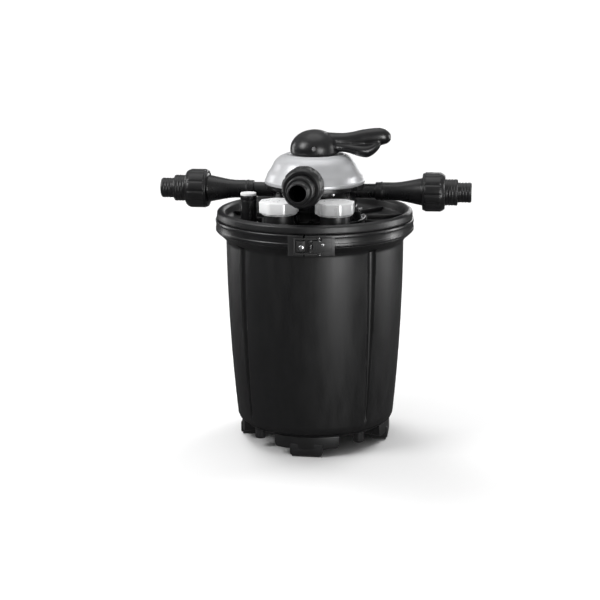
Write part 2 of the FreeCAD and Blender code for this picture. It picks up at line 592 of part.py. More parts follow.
keep(head_screws, cover_screws, cover_seal, spindle_seal)

rotor = lathe("rotor", [
    ("spindle_radius", "rotor_low_z"), ("rotor_radius", "rotor_low_z"),
    ("rotor_radius", "rotor_low_z + rotor_thick - 2"),
    ("rotor_radius - 2", "rotor_low_z + rotor_thick"),
    ("spring_circle + 8", "rotor_low_z + rotor_thick"),
    ("spring_circle + 5", "rotor_low_z + rotor_thick + 4"),
    ("spindle_radius", "rotor_low_z + rotor_thick + 4")])
rotor_gasket = lathe("rotor_gasket", [
    ("rotor_radius - 12", "chamber_floor_z"), ("rotor_radius - 4", "chamber_floor_z"),
    ("rotor_radius - 4", "chamber_floor_z + gasket_thick"),
    ("rotor_radius - 12", "chamber_floor_z + gasket_thick")])
spindle_flats = [box("flat_%d" % side, ("-12", "12"),
                     ("slot_half_width - 1", "12") if side > 0 else ("-12", "1 - slot_half_width"),
                     ("washer_z", "slot_top_z")) for side in (-1, 1)]
spindle = cut("spindle_flat", rod("spindle_rod", "spindle_radius", ("rotor_low_z - 1",
              "pivot_z + spindle_radius")), spindle_flats + [
    spoke("spindle_bore", "handle_pin_radius", ("-12", "12"), z="pivot_z")])
spindle = turned(spindle, value("handle_turn"))
spindle.Label = "spindle"
valve_spring = coil("valve_spring", "spring_circle", "spring_wire",
                    "rotor_low_z + rotor_thick + 4.1 + spring_wire",
                    "spring_top_z - spring_wire - 0.1", 6)
slip_washer = lathe("slip_washer", [
    ("spindle_radius + clearance", "washer_z"), ("washer_radius", "washer_z"),
    ("washer_radius", "washer_z + washer_thick"),
    ("spindle_radius + clearance", "washer_z + washer_thick")])
keep(valve_body, valve_cover, rotor, rotor_gasket, spindle, valve_spring, slip_washer)


# --- handle ------------------------------------------------------------------------------
def ellipsoid(label, along, z, reach, width, rise):
    """An ellipsoid on the lever's line, with half sizes along, across and up."""
    return primitive("Ellipsoid", label, x=along, z=z, Radius2=reach, Radius3=width,
                     Radius1=rise)


def lever_loft(label, stations):
    """A lever body lofted through upright ellipses at (along, height, half width, half rise)."""
    sections = []
    for index, (along, z, width, rise) in enumerate(stations):
        wide = max(width, rise)
        narrow = min(width, rise)
        spin = FreeCAD.Rotation(V(0, 1, 0), 90)
        if width >= rise:
            spin = spin * FreeCAD.Rotation(V(0, 0, 1), 90)
        ring = doc.addObject("Part::Ellipse", "%s_%d" % (label, index))
        ring.MajorRadius = wide
        ring.MinorRadius = narrow
        ring.Placement = FreeCAD.Placement(V(along, 0, z), spin)
        sections.append(ring)
    item = doc.addObject("Part::Loft", label)
    item.Sections = sections
    item.Solid = True
    return item


spine = lever_loft("spine", [(12, 583, 20, 16), (56, 580, 15, 13), (94, 588, 15, 15.5),
                             (value("tip_length") - 22, 590, 14.5, 16),
                             (value("tip_length") - 9, 589.5, 12, 13),
                             (value("tip_length") - 2, 589, 7, 7.5),
                             (value("tip_length"), 589, 4.5, 4)])
palm = lever_loft("palm", [(24, 573, 26, 13), (56, 571, 20, 9.5), (84, 566, 26, 12.5),
                           (101, 565, 24, 13.5), (115, 571.5, 19, 12), (124, 579, 13, 9)])
hub = cut("hub", ellipsoid("hub_dome", "0", "hub_centre_z", "hub_radius", "hub_radius",
                           "hub_rise"),
          [box("hub_under", ("-60", "60"), ("-60", "60"), ("hub_low_z - 60", "hub_low_z"))])
slot = box("slot", ("-slot_half_length", "slot_half_length"),
           ("-slot_half_width", "slot_half_width"), ("hub_low_z - 2", "slot_top_z"))
handle_bore = spoke("handle_bore", "handle_pin_radius + running_fit", ("-50", "50"),
                    z="pivot_z")
handle = cut("handle_flat", fuse("handle_solid", [hub, spine, palm]),
             [slot, handle_bore])
handle = turned(handle, value("handle_turn"))
handle.Label = "handle"
handle_pin = turned(spoke("handle_pin_flat", "handle_pin_radius",
                          ("4 - hub_radius", "hub_radius - 4"), z="pivot_z"),
                    value("handle_turn"))
handle_pin.Label = "handle_pin"
keep(handle, handle_pin)


# --- service caps ------------------------------------------------------------------------
def service_cap(side, x):
    """An eight-sided screw cap with its flat washer, at x on the lid."""
    outer = lathe(side + "_cap_turned", [
        ("0", "cap_low_z"), ("cap_collar - 1", "cap_low_z"), ("cap_collar", "cap_low_z + 1"),
        ("cap_collar", "cap_collar_z"), ("cap_corner", "cap_collar_z + 1.5"),
        ("cap_corner", "cap_high_z - 2"), ("cap_crown", "cap_high_z"), ("0", "cap_high_z")])
    prism = primitive("Prism", side + "_cap_prism", Circumradius="cap_flat / cos(22.5)",
                      Height="cap_high_z - cap_low_z", z="cap_low_z")
    prism.Polygon = 8
    prism.Placement.Rotation = FreeCAD.Rotation(V(0, 0, 1), 22.5)
    inside = rod(side + "_cap_inside", "cap_neck + gap",
                 ("cap_low_z - 1", "cap_high_z - cap_roof"))
    cap = cut(side + "_cap", common(side + "_cap_solid", outer, prism), [inside])
    seal = lathe(side + "_cap_seal", [
        ("cap_neck_bore + 0.5", "cap_neck_z + 0.1"), ("cap_neck - 0.5", "cap_neck_z + 0.1"),
        ("cap_neck - 0.5", "cap_high_z - cap_roof - 0.1"),
        ("cap_neck_bore + 0.5", "cap_high_z - cap_roof - 0.1")])
    for piece in (cap, seal):
        keep(bind(piece, x=x, y="-cap_y"))


service_cap("left", "-cap_x")
service_cap("right", "cap_x")

# --- pressure indicator ------------------------------------------------------------------
gauge_roof_z = "gauge_z - gauge_roof"
gauge_housing = lathe("indicator_housing", [
    ("gauge_bore", "well_floor_z"), ("gauge_radius + 3", "well_floor_z"),
    ("gauge_radius + 3", "well_floor_z + 4"), ("gauge_radius", "well_floor_z + 5"),
    ("gauge_radius", "gauge_z - 1"), ("gauge_radius - 1", "gauge_z"),
    ("stem_radius + running_fit", "gauge_z"), ("stem_radius + running_fit", gauge_roof_z),
    ("gauge_bore", gauge_roof_z)])
gauge_button = lathe("indicator_button", [
    ("0", "piston_z"), ("gauge_bore - clearance", "piston_z"),
    ("gauge_bore - clearance", "piston_z + 1.2"), ("gauge_bore - 2", "piston_z + 1.2"),
    ("gauge_bore - 2", "piston_z + piston_thick - 1.2"),
    ("gauge_bore - clearance", "piston_z + piston_thick - 1.2"),
    ("gauge_bore - clearance", "piston_z + piston_thick"),
    ("stem_radius", "piston_z + piston_thick"), ("stem_radius", "gauge_z + gap"),
    ("button_radius - 0.8", "gauge_z + gap"), ("button_radius", "gauge_z + gap + 0.8"),
    ("button_radius", "button_z - 1.2"), ("button_radius - 1.2", "button_z"), ("0", "button_z")])
gauge_seal = primitive("Torus", "indicator_seal", Radius1="gauge_bore - 1.2", Radius2="0.8",
                       z="piston_z + piston_thick / 2")
gauge_coil = coil("indicator_spring", "gauge_spring", "gauge_wire",
                  "piston_z + piston_thick + gauge_wire", gauge_roof_z + " - gauge_wire", 5)
gauge_coil.Placement.Base = V(0, 0, gauge_coil.Placement.Base.z)
for piece in (gauge_housing, gauge_button, gauge_seal, gauge_coil):
    keep(bind(piece, x="-gauge_x", y="-gauge_y"))

# --- inside the tank ---------------------------------------------------------------------
media_levels = ["media_low_z + %d * (media_height + media_gap)" % step for step in range(3)]
for label, low in zip(("foam_lower", "foam_middle", "foam_upper"), media_levels):
    keep(lathe(label, [("media_inner", low), ("media_outer", low),
                       ("media_outer", low + " + media_height"),
                       ("media_inner", low + " + media_height")]))


def grid(label, low):
    """A perforated plate that holds the foam, with three rings of holes."""
    plate = lathe(label + "_plate", [
        ("riser_radius + gap", low), ("grid_radius", low), ("grid_radius", low + " + grid_thick"),
        ("riser_radius + gap", low + " + grid_thick")])
    holes = []
    for circle, count in ((55, 8), (88, 12), (118, 16)):
        holes += around(lambda index: rod("%s_hole_%d_%d" % (label, circle, index), "grid_hole",
                                          (low + " - 1", low + " + grid_thick + 1"),
                                          y="-%d" % circle), count)
    return cut(label, plate, holes)


bottom_grid = grid("bottom_grid_plate", "media_low_z - gap - grid_thick")
grid_legs = around(lambda index: rod("grid_leg_%d" % index, "grid_leg",
                                     ("base_z + floor_thick", "media_low_z - gap - 1"),
                                     y="-grid_leg_circle"), 6, 15)
bottom_grid = fuse("bottom_grid", [bottom_grid] + grid_legs)
top_grid = grid("top_grid", "media_low_z + 3 * (media_height + media_gap)")
riser = lathe("riser_pipe", [
    ("riser_radius - riser_wall", "base_z + floor_thick + 1"),
    ("riser_radius", "base_z + floor_thick + 1"), ("riser_radius", "chamber_floor_z - 6"),
    ("riser_radius - riser_wall", "chamber_floor_z - 6")])
ports = []
for level in range(6):
    for turn in (0, 60, 120):
        drill = spoke("riser_hole_%d_%d" % (level, turn), "riser_hole",
                      ("-riser_radius - 8", "riser_radius + 8"),
                      z="media_low_z + 25 + %d * riser_hole_step" % level)
        ports.append(turned(drill, turn + 30 * (level % 2)))
riser_tube = cut("riser_tube", riser, ports)
riser_seal = primitive("Torus", "riser_seal", Radius1="riser_radius + 1.5", Radius2="1.2",
                       z="well_floor_z - lid_thick - 1.4")
flow_spreader = lathe("flow_spreader", [
    ("riser_radius + gap", "rim_z - 8"), ("riser_radius + gap + 5", "rim_z - 8"),
    ("spreader_radius - 1.5", "rim_z - 19"), ("spreader_radius", "rim_z - 17"),
    ("riser_radius + gap + 5", "rim_z - 5"), ("riser_radius + gap", "rim_z - 5")])
keep(bottom_grid, top_grid, riser_tube, riser_seal, flow_spreader)

# --- check and write ---------------------------------------------------------------------
doc.recompute()
for item in doc.Objects:
    states = set(item.State) & {"Invalid", "Error"}
    if states:
        raise RuntimeError("%s is %s" % (item.Label, sorted(states)))
os.makedirs("parts", exist_ok=True)
for item in sub_parts:
    if item.Shape.isNull() or not item.Shape.isValid() or not item.Shape.Solids:
        raise RuntimeError(item.Label + " has no valid solid")
for item in sub_parts:
    item.Shape.exportStep("parts/%s.step" % item.Label)
    limits = item.Shape.BoundBox
    print("%-18s solids %2d volume %9.0f z %6.1f to %6.1f" % (
        item.Label, len(item.Shape.Solids), item.Shape.Volume, limits.ZMin, limits.ZMax))
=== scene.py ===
import json
import math

import bmesh
import bpy
from mathutils import Matrix, Vector


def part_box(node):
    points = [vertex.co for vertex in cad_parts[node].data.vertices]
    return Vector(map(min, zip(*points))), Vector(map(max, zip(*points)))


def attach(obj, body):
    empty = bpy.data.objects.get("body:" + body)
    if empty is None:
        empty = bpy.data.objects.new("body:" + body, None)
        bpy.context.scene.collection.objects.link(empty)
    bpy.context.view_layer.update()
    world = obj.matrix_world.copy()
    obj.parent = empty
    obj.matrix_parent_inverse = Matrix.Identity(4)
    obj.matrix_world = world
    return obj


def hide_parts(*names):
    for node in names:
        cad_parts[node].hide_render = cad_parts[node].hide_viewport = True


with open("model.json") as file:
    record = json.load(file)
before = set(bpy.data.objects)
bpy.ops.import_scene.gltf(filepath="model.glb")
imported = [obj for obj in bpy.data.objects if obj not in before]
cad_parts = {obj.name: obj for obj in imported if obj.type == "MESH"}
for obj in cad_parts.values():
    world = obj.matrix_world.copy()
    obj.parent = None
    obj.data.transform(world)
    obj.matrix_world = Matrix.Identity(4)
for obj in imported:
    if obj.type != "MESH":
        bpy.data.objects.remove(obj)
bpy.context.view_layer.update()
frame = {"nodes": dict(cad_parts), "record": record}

# Sizes here are millimetres, as in the CAD part; meshes are written in metres.
MM = 0.001
TAU = 2 * math.pi


# --- measures read from the frame ----------------------------------------------------------
def limits(node):
    """The lowest and highest corner of a CAD node, in millimetres."""
    low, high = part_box(node)
    return Vector(low) / MM, Vector(high) / MM


# --- materials -----------------------------------------------------------------------------
def node_tools(name):
    material = bpy.data.materials.new(name)
    material.use_nodes = True
    nodes, links = material.node_tree.nodes, material.node_tree.links
    shader = nodes["Principled BSDF"]
    place = nodes.new("ShaderNodeTexCoord").outputs["Object"]
    return material, nodes, links, shader, place


def noise(nodes, links, place, scale, detail=3.0, stretch=None):
    """A noise field, stretched along an axis when stretch gives a scale for each axis."""
    if stretch:
        mapping = nodes.new("ShaderNodeMapping")
        mapping.inputs["Scale"].default_value = stretch
        links.new(place, mapping.inputs["Vector"])
        place = mapping.outputs["Vector"]
    texture = nodes.new("ShaderNodeTexNoise")
    texture.inputs["Scale"].default_value = scale
    texture.inputs["Detail"].default_value = detail
    links.new(place, texture.inputs["Vector"])
    return texture.outputs["Fac"]


def remap(nodes, links, source, low, high, start=0.3, end=0.7):
    ramp = nodes.new("ShaderNodeMapRange")
    ramp.inputs["From Min"].default_value = start
    ramp.inputs["From Max"].default_value = end
    ramp.inputs["To Min"].default_value = low
    ramp.inputs["To Max"].default_value = high
    links.new(source, ramp.inputs["Value"])
    return ramp.outputs["Result"]


def blend_colours(nodes, links, factor, first, second):
    mix = nodes.new("ShaderNodeMix")
    mix.data_type = "RGBA"
    mix.inputs["A"].default_value = (*first, 1)
    mix.inputs["B"].default_value = (*second, 1)
    links.new(factor, mix.inputs["Factor"])
    return mix.outputs["Result"]


def bump(nodes, links, height, strength, distance, before=None):
    relief = nodes.new("ShaderNodeBump")
    relief.inputs["Strength"].default_value = strength
    relief.inputs["Distance"].default_value = distance
    links.new(height, relief.inputs["Height"])
    if before:
        links.new(before, relief.inputs["Normal"])
    return relief.outputs["Normal"]


def moulded(name, colour, worn, rough, relief=0.12, metallic=0.0):
    """Moulded plastic: fine grain, slow colour drift, faint handling marks and dusty edges."""
    material, nodes, links, shader, place = node_tools(name)
    drift = noise(nodes, links, place, 14.0, 4.0)
    edge = nodes.new("ShaderNodeNewGeometry").outputs["Pointiness"]
    worn_edge = remap(nodes, links, edge, 0.0, 1.0, 0.505, 0.56)
    base = blend_colours(nodes, links, remap(nodes, links, drift, 0.0, 1.0), colour,
                         tuple(channel * 0.86 for channel in colour))
    mix = nodes.new("ShaderNodeMix")
    mix.data_type = "RGBA"
    links.new(worn_edge, mix.inputs["Factor"])
    links.new(base, mix.inputs["A"])
    mix.inputs["B"].default_value = (*worn, 1)
    links.new(mix.outputs["Result"], shader.inputs["Base Color"])
    marks = noise(nodes, links, place, 60.0, 6.0, (1.0, 1.0, 0.25))
    links.new(remap(nodes, links, marks, rough - 0.05, rough + 0.07),
              shader.inputs["Roughness"])
    grain_height = noise(nodes, links, place, 900.0, 2.0)
    ripple = noise(nodes, links, place, 26.0, 1.0)
    waves = bump(nodes, links, ripple, 0.10, 0.0006)
    links.new(bump(nodes, links, grain_height, relief, 0.00012, waves),
              shader.inputs["Normal"])
    shader.inputs["Metallic"].default_value = metallic
    return material


def brushed(name, colour, rough):
    """Turned or drawn steel with fine scratches round Z."""
    material, nodes, links, shader, place = node_tools(name)
    lines = noise(nodes, links, place, 700.0, 5.0, (1.0, 1.0, 14.0))
    links.new(blend_colours(nodes, links, remap(nodes, links, lines, 0.0, 1.0), colour,
                            tuple(channel * 0.72 for channel in colour)),
              shader.inputs["Base Color"])
    links.new(remap(nodes, links, lines, rough - 0.06, rough + 0.12),
              shader.inputs["Roughness"])
    links.new(bump(nodes, links, lines, 0.15, 0.00008), shader.inputs["Normal"])
    shader.inputs["Metallic"].default_value = 1.0
    return material


def foamed(name, colour):
    """Open-cell filter foam; its pores are darkened with painted shade."""
    material, nodes, links, shader, place = node_tools(name)
    cells = nodes.new("ShaderNodeTexVoronoi")
    cells.inputs["Scale"].default_value = 420.0
    links.new(place, cells.inputs["Vector"])
    # The cell middles are darkened to 30 per cent of the colour: painted shade in the pores.
    links.new(blend_colours(nodes, links, remap(nodes, links, cells.outputs["Distance"], 0.0,
                                                1.0, 0.1, 0.6),
                            tuple(channel * 0.3 for channel in colour), colour),
              shader.inputs["Base Color"])
    links.new(bump(nodes, links, cells.outputs["Distance"], 0.9, 0.0012),
              shader.inputs["Normal"])
    shader.inputs["Roughness"].default_value = 0.95
    return material


def rubbery(name, colour):
    material, nodes, links, shader, place = node_tools(name)
    dust = noise(nodes, links, place, 90.0, 6.0)
    links.new(blend_colours(nodes, links, remap(nodes, links, dust, 0.0, 1.0), colour,
                            tuple(channel * 1.7 for channel in colour)),
              shader.inputs["Base Color"])
    links.new(remap(nodes, links, dust, 0.7, 0.9), shader.inputs["Roughness"])
    links.new(bump(nodes, links, noise(nodes, links, place, 1400.0), 0.25, 0.0002),
              shader.inputs["Normal"])
    return material


BLACK = (0.0062, 0.0062, 0.0070)
BLACK_WORN = (0.014, 0.014, 0.015)
SILVER = (0.60, 0.605, 0.62)
SILVER_WORN = (0.70, 0.70, 0.71)
LOOKS = {
    "tank_plastic": moulded("tank_plastic", BLACK, BLACK_WORN, 0.42),
    "band": moulded("band", BLACK, BLACK_WORN, 0.3),
    "latch": moulded("latch", (0.014, 0.014, 0.015), (0.03, 0.03, 0.03), 0.38),
    "head_plastic": moulded("head_plastic", BLACK, BLACK_WORN, 0.28),
    "nut_plastic": moulded("nut_plastic", BLACK, BLACK_WORN, 0.33),
    "handle_plastic": moulded("handle_plastic", BLACK, BLACK_WORN, 0.31, relief=0.06),
    "cover_plastic": moulded("cover_plastic", SILVER, SILVER_WORN, 0.36, relief=0.05,
                             metallic=0.35),
    "cap_plastic": moulded("cap_plastic", (0.93, 0.935, 0.94), (0.95, 0.95, 0.95), 0.3,
                           relief=0.04, metallic=0.15),
    "button_plastic": moulded("button_plastic", (0.80, 0.80, 0.80), (0.9, 0.9, 0.9), 0.32,
                              relief=0.03),
    "inner_plastic": moulded("inner_plastic", (0.045, 0.045, 0.05), (0.08, 0.08, 0.08), 0.5),
    "rubber": rubbery("rubber", (0.018, 0.018, 0.018)),
    "foam": foamed("foam", (0.05, 0.10, 0.22)),
    "steel": brushed("steel", (0.66, 0.66, 0.67), 0.26),
}
for entry in frame["record"]["subparts"]:
    mesh = frame["nodes"][entry["node"]].data
    mesh.materials.clear()
    mesh.materials.append(LOOKS[entry["material_slot"]])


# --- mesh tools ----------------------------------------------------------------------------
def finish_mesh(name, mesh_builder, look, body, replaced=(), crease=32.0):
    """Turn a bmesh in millimetres into a piece that rides on a body."""
    bmesh.ops.scale(mesh_builder, vec=(MM, MM, MM), verts=mesh_builder.verts)
    bmesh.ops.recalc_face_normals(mesh_builder, faces=mesh_builder.faces)
    for face in mesh_builder.faces:
        face.smooth = True
    for edge in mesh_builder.edges:
        edge.smooth = edge.is_manifold and edge.calc_face_angle(0) < math.radians(crease)
    mesh = bpy.data.meshes.new(name)
    mesh_builder.to_mesh(mesh)
    mesh_builder.free()
    mesh.materials.append(LOOKS[look])
    piece = bpy.data.objects.new(name, mesh)
    bpy.context.scene.collection.objects.link(piece)
    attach(piece, body)
    if replaced:
        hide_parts(*replaced)
    return piece


def rounded(outline, radius, steps=4, closed=True):
    """Round each corner of an outline of (across, up) points.

    A point may carry its own radius as a third number.
    """
    result = []
    count = len(outline)
    for index, point in enumerate(outline):
        here = Vector(point[:2])
        own = point[2] if len(point) > 2 else radius
        if own <= 0 or (not closed and index in (0, count - 1)):
            result.append(tuple(here))
            continue
        before = Vector(outline[index - 1][:2]) - here
        after = Vector(outline[(index + 1) % count][:2]) - here
        reach = min(own, 0.45 * before.length, 0.45 * after.length)
        start, end = here + before.normalized() * reach, here + after.normalized() * reach
        for step in range(steps + 1):
            along = step / steps
            result.append(tuple(start.lerp(here, along).lerp(here.lerp(end, along), along)))
    return result


def spread(count, start=0.0, end=TAU):
    """Evenly spaced angles, without the last one when they go all the way round."""
    whole = abs(end - start - TAU) < 1e-9
    return [start + (end - start) * step / (count if whole else count - 1)
            for step in range(count)]


def revolve(outline, angles=None, wobble=None, aim=None, open_ends=False):
    """Turn a closed outline of (radius, height) points about Z; aim then places it.

    Angles are measured from the front. wobble(angle, radius, height) gives the radius there.
    With open_ends the sweep stops at its first and last angle and is capped.
    """
    builder = bmesh.new()
    angles = angles or spread(160)
    count = len(angles)
    rings = []
    for radius, height in outline:
        if radius < 1e-6:
            rings.append([builder.verts.new((0, 0, height))])
            continue
        ring = []
        for angle in angles:
            reach = wobble(angle, radius, height) if wobble else radius
            ring.append(builder.verts.new((reach * math.sin(angle), -reach * math.cos(angle),
                                           height)))
        rings.append(ring)
    for first, second in zip(rings, rings[1:] + rings[:1]):
        if len(first) == 1 and len(second) == 1:
            continue
        for step in range(count - 1 if open_ends else count):
            after = (step + 1) % count
            corners = [first[step % len(first)], first[after % len(first)],
                       second[after % len(second)], second[step % len(second)]]
            builder.faces.new(list(dict.fromkeys(corners)))
    if open_ends:
        builder.faces.new([ring[0] for ring in rings])
        builder.faces.new([ring[-1] for ring in rings])
    if aim:
        bmesh.ops.transform(builder, matrix=aim, verts=builder.verts)
    return builder


def bevel_box(builder, low, high, radius, matrix=None, steps=3):
    """Add a box with rounded edges, between two opposite corners."""
    low, high = Vector(low), Vector(high)
    made = bmesh.ops.create_cube(builder, size=1.0)["verts"]
    for vert in made:
        vert.co = Vector(low[axis] + (vert.co[axis] + 0.5) * (high[axis] - low[axis])
                         for axis in range(3))
    edges = list({edge for vert in made for edge in vert.link_edges})
    bevelled = bmesh.ops.bevel(builder, geom=edges, offset=radius, segments=steps, profile=0.5,
                               affect="EDGES", clamp_overlap=True)
    if matrix:
        verts = {vert for face in bevelled["faces"] for vert in face.verts}
        flat = set()
        for vert in verts:
            for face in vert.link_faces:
                flat.update(face.verts)
        bmesh.ops.transform(builder, matrix=matrix, verts=list(verts | flat))


def merge(builders):
    """Join several bmeshes into one."""
    whole = bmesh.new()
    for builder in builders:
        mesh = bpy.data.meshes.new("merge")
        builder.to_mesh(mesh)
        builder.free()
        whole.from_mesh(mesh)
        bpy.data.meshes.remove(mesh)
    return whole


def around_z(degrees):
    return Matrix.Rotation(math.radians(degrees), 4, "Z")


def as_object(builder):
    """A short-lived object for modifiers to work on."""
    mesh = bpy.data.meshes.new("tool")
    builder.to_mesh(mesh)
    builder.free()
    item = bpy.data.objects.new("tool", mesh)
    bpy.context.scene.collection.objects.link(item)
    return item


def evaluated(item, *others):
    """The mesh of an object after its modifiers, as a bmesh; the objects are removed."""
    bpy.context.view_layer.update()
    mesh = bpy.data.meshes.new_from_object(
        item.evaluated_get(bpy.context.evaluated_depsgraph_get()))
    builder = bmesh.new()
    builder.from_mesh(mesh)
    bpy.data.meshes.remove(mesh)
    for spent in (item, *others):
        data = spent.data
        bpy.data.objects.remove(spent)
        bpy.data.meshes.remove(data)
    return builder


def carve(builder, cutters):
    """Cut closed bmeshes out of a closed bmesh."""
    item = as_object(builder)
    tools = [as_object(cutter) for cutter in cutters]
    for tool in tools:
        step = item.modifiers.new("step", "BOOLEAN")
        step.operation = "DIFFERENCE"
        step.solver = "EXACT"
        step.object = tool
    return evaluated(item, *tools)


# --- tank ----------------------------------------------------------------------------------
WALL_FOOT = (153.0, 47.0)      # radius and height at the ends of the barrel-shaped wall
WALL_TOP = (170.4, 393.0)
WALL_THICK = 5.5
FOOT_HALF, PAD_THICK = 31.0, 4.0
PEG_CIRCLE, PEG_RADIUS, PEG_Z = 134.0, 10.5, 18.0
BASE_RADIUS, BASE_Z, STEP_Z = 146.0, 38.0, 44.0
GROOVE_TURNS = (45, 135, 225, 315)
GROOVE_LOW, GROOVE_HIGH = (62.0, 2.8), (393.0, 9.2)    # height and half width
SKIRT_Z = 15.5


def wall_radius(height):
    share = (WALL_TOP[1] - height) / (WALL_TOP[1] - WALL_FOOT[1])
    return WALL_TOP[0] - share ** 2 * (WALL_TOP[0] - WALL_FOOT[0])


def grooved(angle, radius, height):
    """The tank wall's radius with four tapered round grooves pressed into it."""
    if height < GROOVE_LOW[0] or height > 401:
        return radius
    share = min(1.0, (height - GROOVE_LOW[0]) / (GROOVE_HIGH[0] - GROOVE_LOW[0]))
    half = GROOVE_LOW[1] + share * (GROOVE_HIGH[1] - GROOVE_LOW[1])
    fade = min(1.0, (height - GROOVE_LOW[0]) / 10.0) * min(1.0, (401 - height) / 7.0)
    for turn in GROOVE_TURNS:
        off = (angle - math.radians(turn) + math.pi) % TAU - math.pi
        across = abs(off) * radius / (half * 1.12)
        if across < 1.0:
            return radius - half * fade * (1.0 - across ** 2.4) ** 0.75
    return radius


def groove_angles():
    """Angles round the tank, close together at the grooves."""
    angles = []
    for quarter in range(4):
        centre = math.radians(45 + 90 * quarter)
        start = centre - math.pi / 4
        angles += spread(17, start, centre - math.radians(3.4))[:-1]
        angles += spread(29, centre - math.radians(3.4), centre + math.radians(3.4))[:-1]
        angles += spread(17, centre + math.radians(3.4), start + math.pi / 2)[:-1]
    return angles


def skirt_section(turn):
    """A stretch of base skirt with its lower corners rounded off."""
    half = math.radians(25)
    inner, outer, corner = 112.0, BASE_RADIUS, 7.0
    angles = spread(61, -half, half)
    builder = bmesh.new()
    rings = []
    for angle in angles:
        near_end = (half - abs(angle)) * outer
        lift = 0.0
        if near_end < corner:
            lift = corner - math.sqrt(corner ** 2 - (corner - near_end) ** 2)
        low = SKIRT_Z + min(lift, BASE_Z - SKIRT_Z - 3.0)
        section = rounded([(inner, low), (outer, low), (outer, BASE_Z + 2), (inner, BASE_Z + 2)],
                          2.2, 3)
        rings.append([builder.verts.new((radius * math.sin(angle), -radius * math.cos(angle),
                                         height)) for radius, height in section])
    for first, second in zip(rings, rings[1:]):
        for step in range(len(first)):
            after = (step + 1) % len(first)
            builder.faces.new((first[step], first[after], second[after], second[step]))
    builder.faces.new(rings[0])
    builder.faces.new(rings[-1])
    bmesh.ops.transform(builder, matrix=around_z(turn), verts=builder.verts)
    return builder


def foot_block(turn):
    """One foot: an upright block with its two lower corners rounded."""
    builder = bmesh.new()
    low = PAD_THICK - 0.5
    outline = rounded([(-FOOT_HALF, low, 5), (FOOT_HALF, low, 5), (FOOT_HALF, 26, 0),
                       (-FOOT_HALF, 26, 0)], 0, 6)
    front = [builder.verts.new((across, -145.2, height)) for across, height in outline]
    back = [builder.verts.new((across, -113.5, height)) for across, height in outline]
    face = builder.faces.new(front)
    builder.faces.new(list(reversed(back)))
    for step in range(len(outline)):
        after = (step + 1) % len(outline)
        builder.faces.new((front[step], back[step], back[after], front[after]))
    bmesh.ops.bevel(builder, geom=list(face.edges), offset=1.2, segments=3, profile=0.5,
                    affect="EDGES", clamp_overlap=True)
    bmesh.ops.transform(builder, matrix=around_z(turn), verts=builder.verts)
    return builder


def tank():
    high = limits("tank_rim")[1]
    rim, flare = high.z, high.x
    heights = [62, 64, 68, 74, 90, 130, 180, 240, 300, 350, 380, 390, 393]
    outline = rounded([
        (0, BASE_Z, 0), (BASE_RADIUS - 2, BASE_Z, 3), (BASE_RADIUS, STEP_Z - 1, 2),
        (WALL_FOOT[0] - 0.6, STEP_Z + 1, 2.5)], 2.0)
    outline += [(wall_radius(height), height) for height in [50] + heights]
    outline += [(WALL_TOP[0] + 0.5, 395), (WALL_TOP[0] + 1.6, 397), (173.4, 399), (175.0, 401)]
    outline += rounded([
        (176.8, 403, 0), (flare - 0.4, rim - 12, 2.5), (flare - 1, rim - 10.9, 1),
        (181, rim - 10.9, 1), (181, rim - 5.5, 0.5), (186, rim - 5.5, 0.5), (186, rim, 1),
        (166, rim, 1), (WALL_TOP[0] - WALL_THICK, 390, 6),
        (wall_radius(275) - WALL_THICK, 275, 30), (wall_radius(170) - WALL_THICK, 170, 30),
        (wall_radius(66) - WALL_THICK, 66, 6), (138, STEP_Z, 6), (0, STEP_Z, 0)], 1.0)
    builders = [revolve(outline, groove_angles(), grooved)]
    for turn in (0, 90, 180, 270):
        builders.append(skirt_section(turn))
        builders.append(foot_block(turn))
    for turn in GROOVE_TURNS:
        peg = rounded([(0, BASE_Z + 1, 0), (PEG_RADIUS, BASE_Z + 1, 0), (PEG_RADIUS, PEG_Z, 4),
                       (0, PEG_Z, 0)], 2)
        centre = around_z(turn) @ Vector((0, -PEG_CIRCLE, 0))
        builders.append(revolve(peg, spread(40), aim=Matrix.Translation(centre)))
    finish_mesh("tank_shell", merge(builders), "tank_plastic", "filter",
                ["tank", "tank_rim", "tank_feet"])


def foot_pads():
    pads = bmesh.new()
    for turn in (0, 90, 180, 270):
        bevel_box(pads, (-27.5, -142.6, 0), (27.5, -115.4, PAD_THICK), 1.2, around_z(turn), 3)
    finish_mesh("foot_pad_set", pads, "rubber", "filter", ["foot_pads"])


# --- lid and clamp band --------------------------------------------------------------------
CAP_X, CAP_Y, NECK_RADIUS = 51.5, 116.0, 27.0
LATCH_TURN = 5.25      # degrees round from the front


